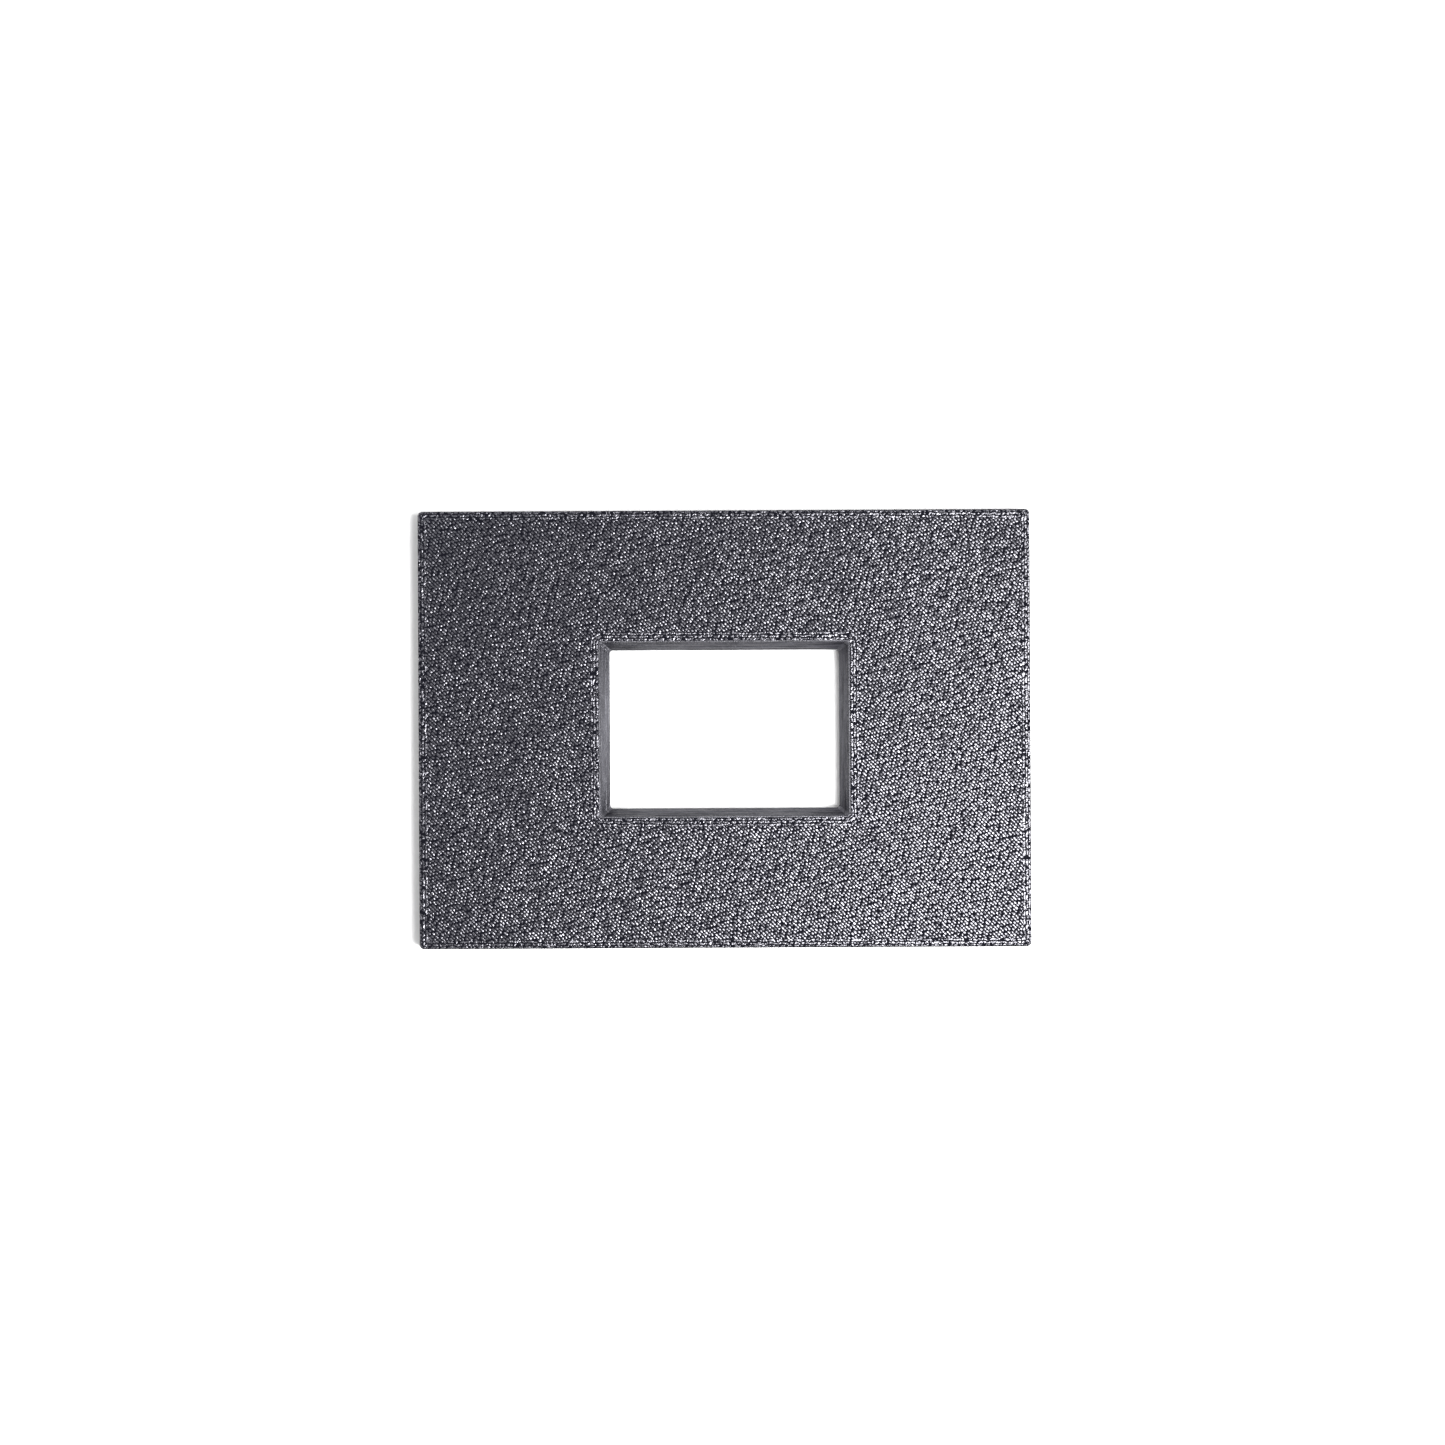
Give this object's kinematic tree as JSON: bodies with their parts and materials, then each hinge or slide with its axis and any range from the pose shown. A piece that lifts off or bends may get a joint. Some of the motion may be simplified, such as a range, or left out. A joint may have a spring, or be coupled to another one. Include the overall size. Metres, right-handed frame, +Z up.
{
  "type": "negative carrier",
  "caption": "Flat rectangular film carrier: matching plates with a bevelled central window, pulled together by inset magnets and located by short pins; the top plate lifts off.",
  "frame": {"origin": "centre of the underside, under the middle of the window", "axes": "+X along the film and the long side, +Y across the film, +Z up, out of the face the lamp is on"},
  "size_m": [0.0986, 0.0706, 0.0047],
  "materials": {
    "printed_plastic": "dark grey printed plastic, pebbled outside, faint print lines inside",
    "magnet_nickel": "nickel plating with fine handling marks",
    "pin_steel": "ground steel"
  },
  "bodies": {
    "lower": {"bottom_plate": "printed_plastic", "bottom_magnet_1": "magnet_nickel", "bottom_magnet_2": "magnet_nickel", "bottom_magnet_3": "magnet_nickel", "bottom_magnet_4": "magnet_nickel", "bottom_magnet_5": "magnet_nickel", "bottom_magnet_6": "magnet_nickel", "locating_pin_1": "pin_steel", "locating_pin_2": "pin_steel", "locating_pin_3": "pin_steel", "locating_pin_4": "pin_steel"},
    "upper": {"top_plate": "printed_plastic", "top_magnet_1": "magnet_nickel", "top_magnet_2": "magnet_nickel", "top_magnet_3": "magnet_nickel", "top_magnet_4": "magnet_nickel", "top_magnet_5": "magnet_nickel", "top_magnet_6": "magnet_nickel"}
  },
  "joints": [
    {"name": "top_plate_lift", "type": "slide", "parent": "lower", "child": "upper", "axis": [0, 0, 1], "range_m": [0, 0.03]}
  ]
}
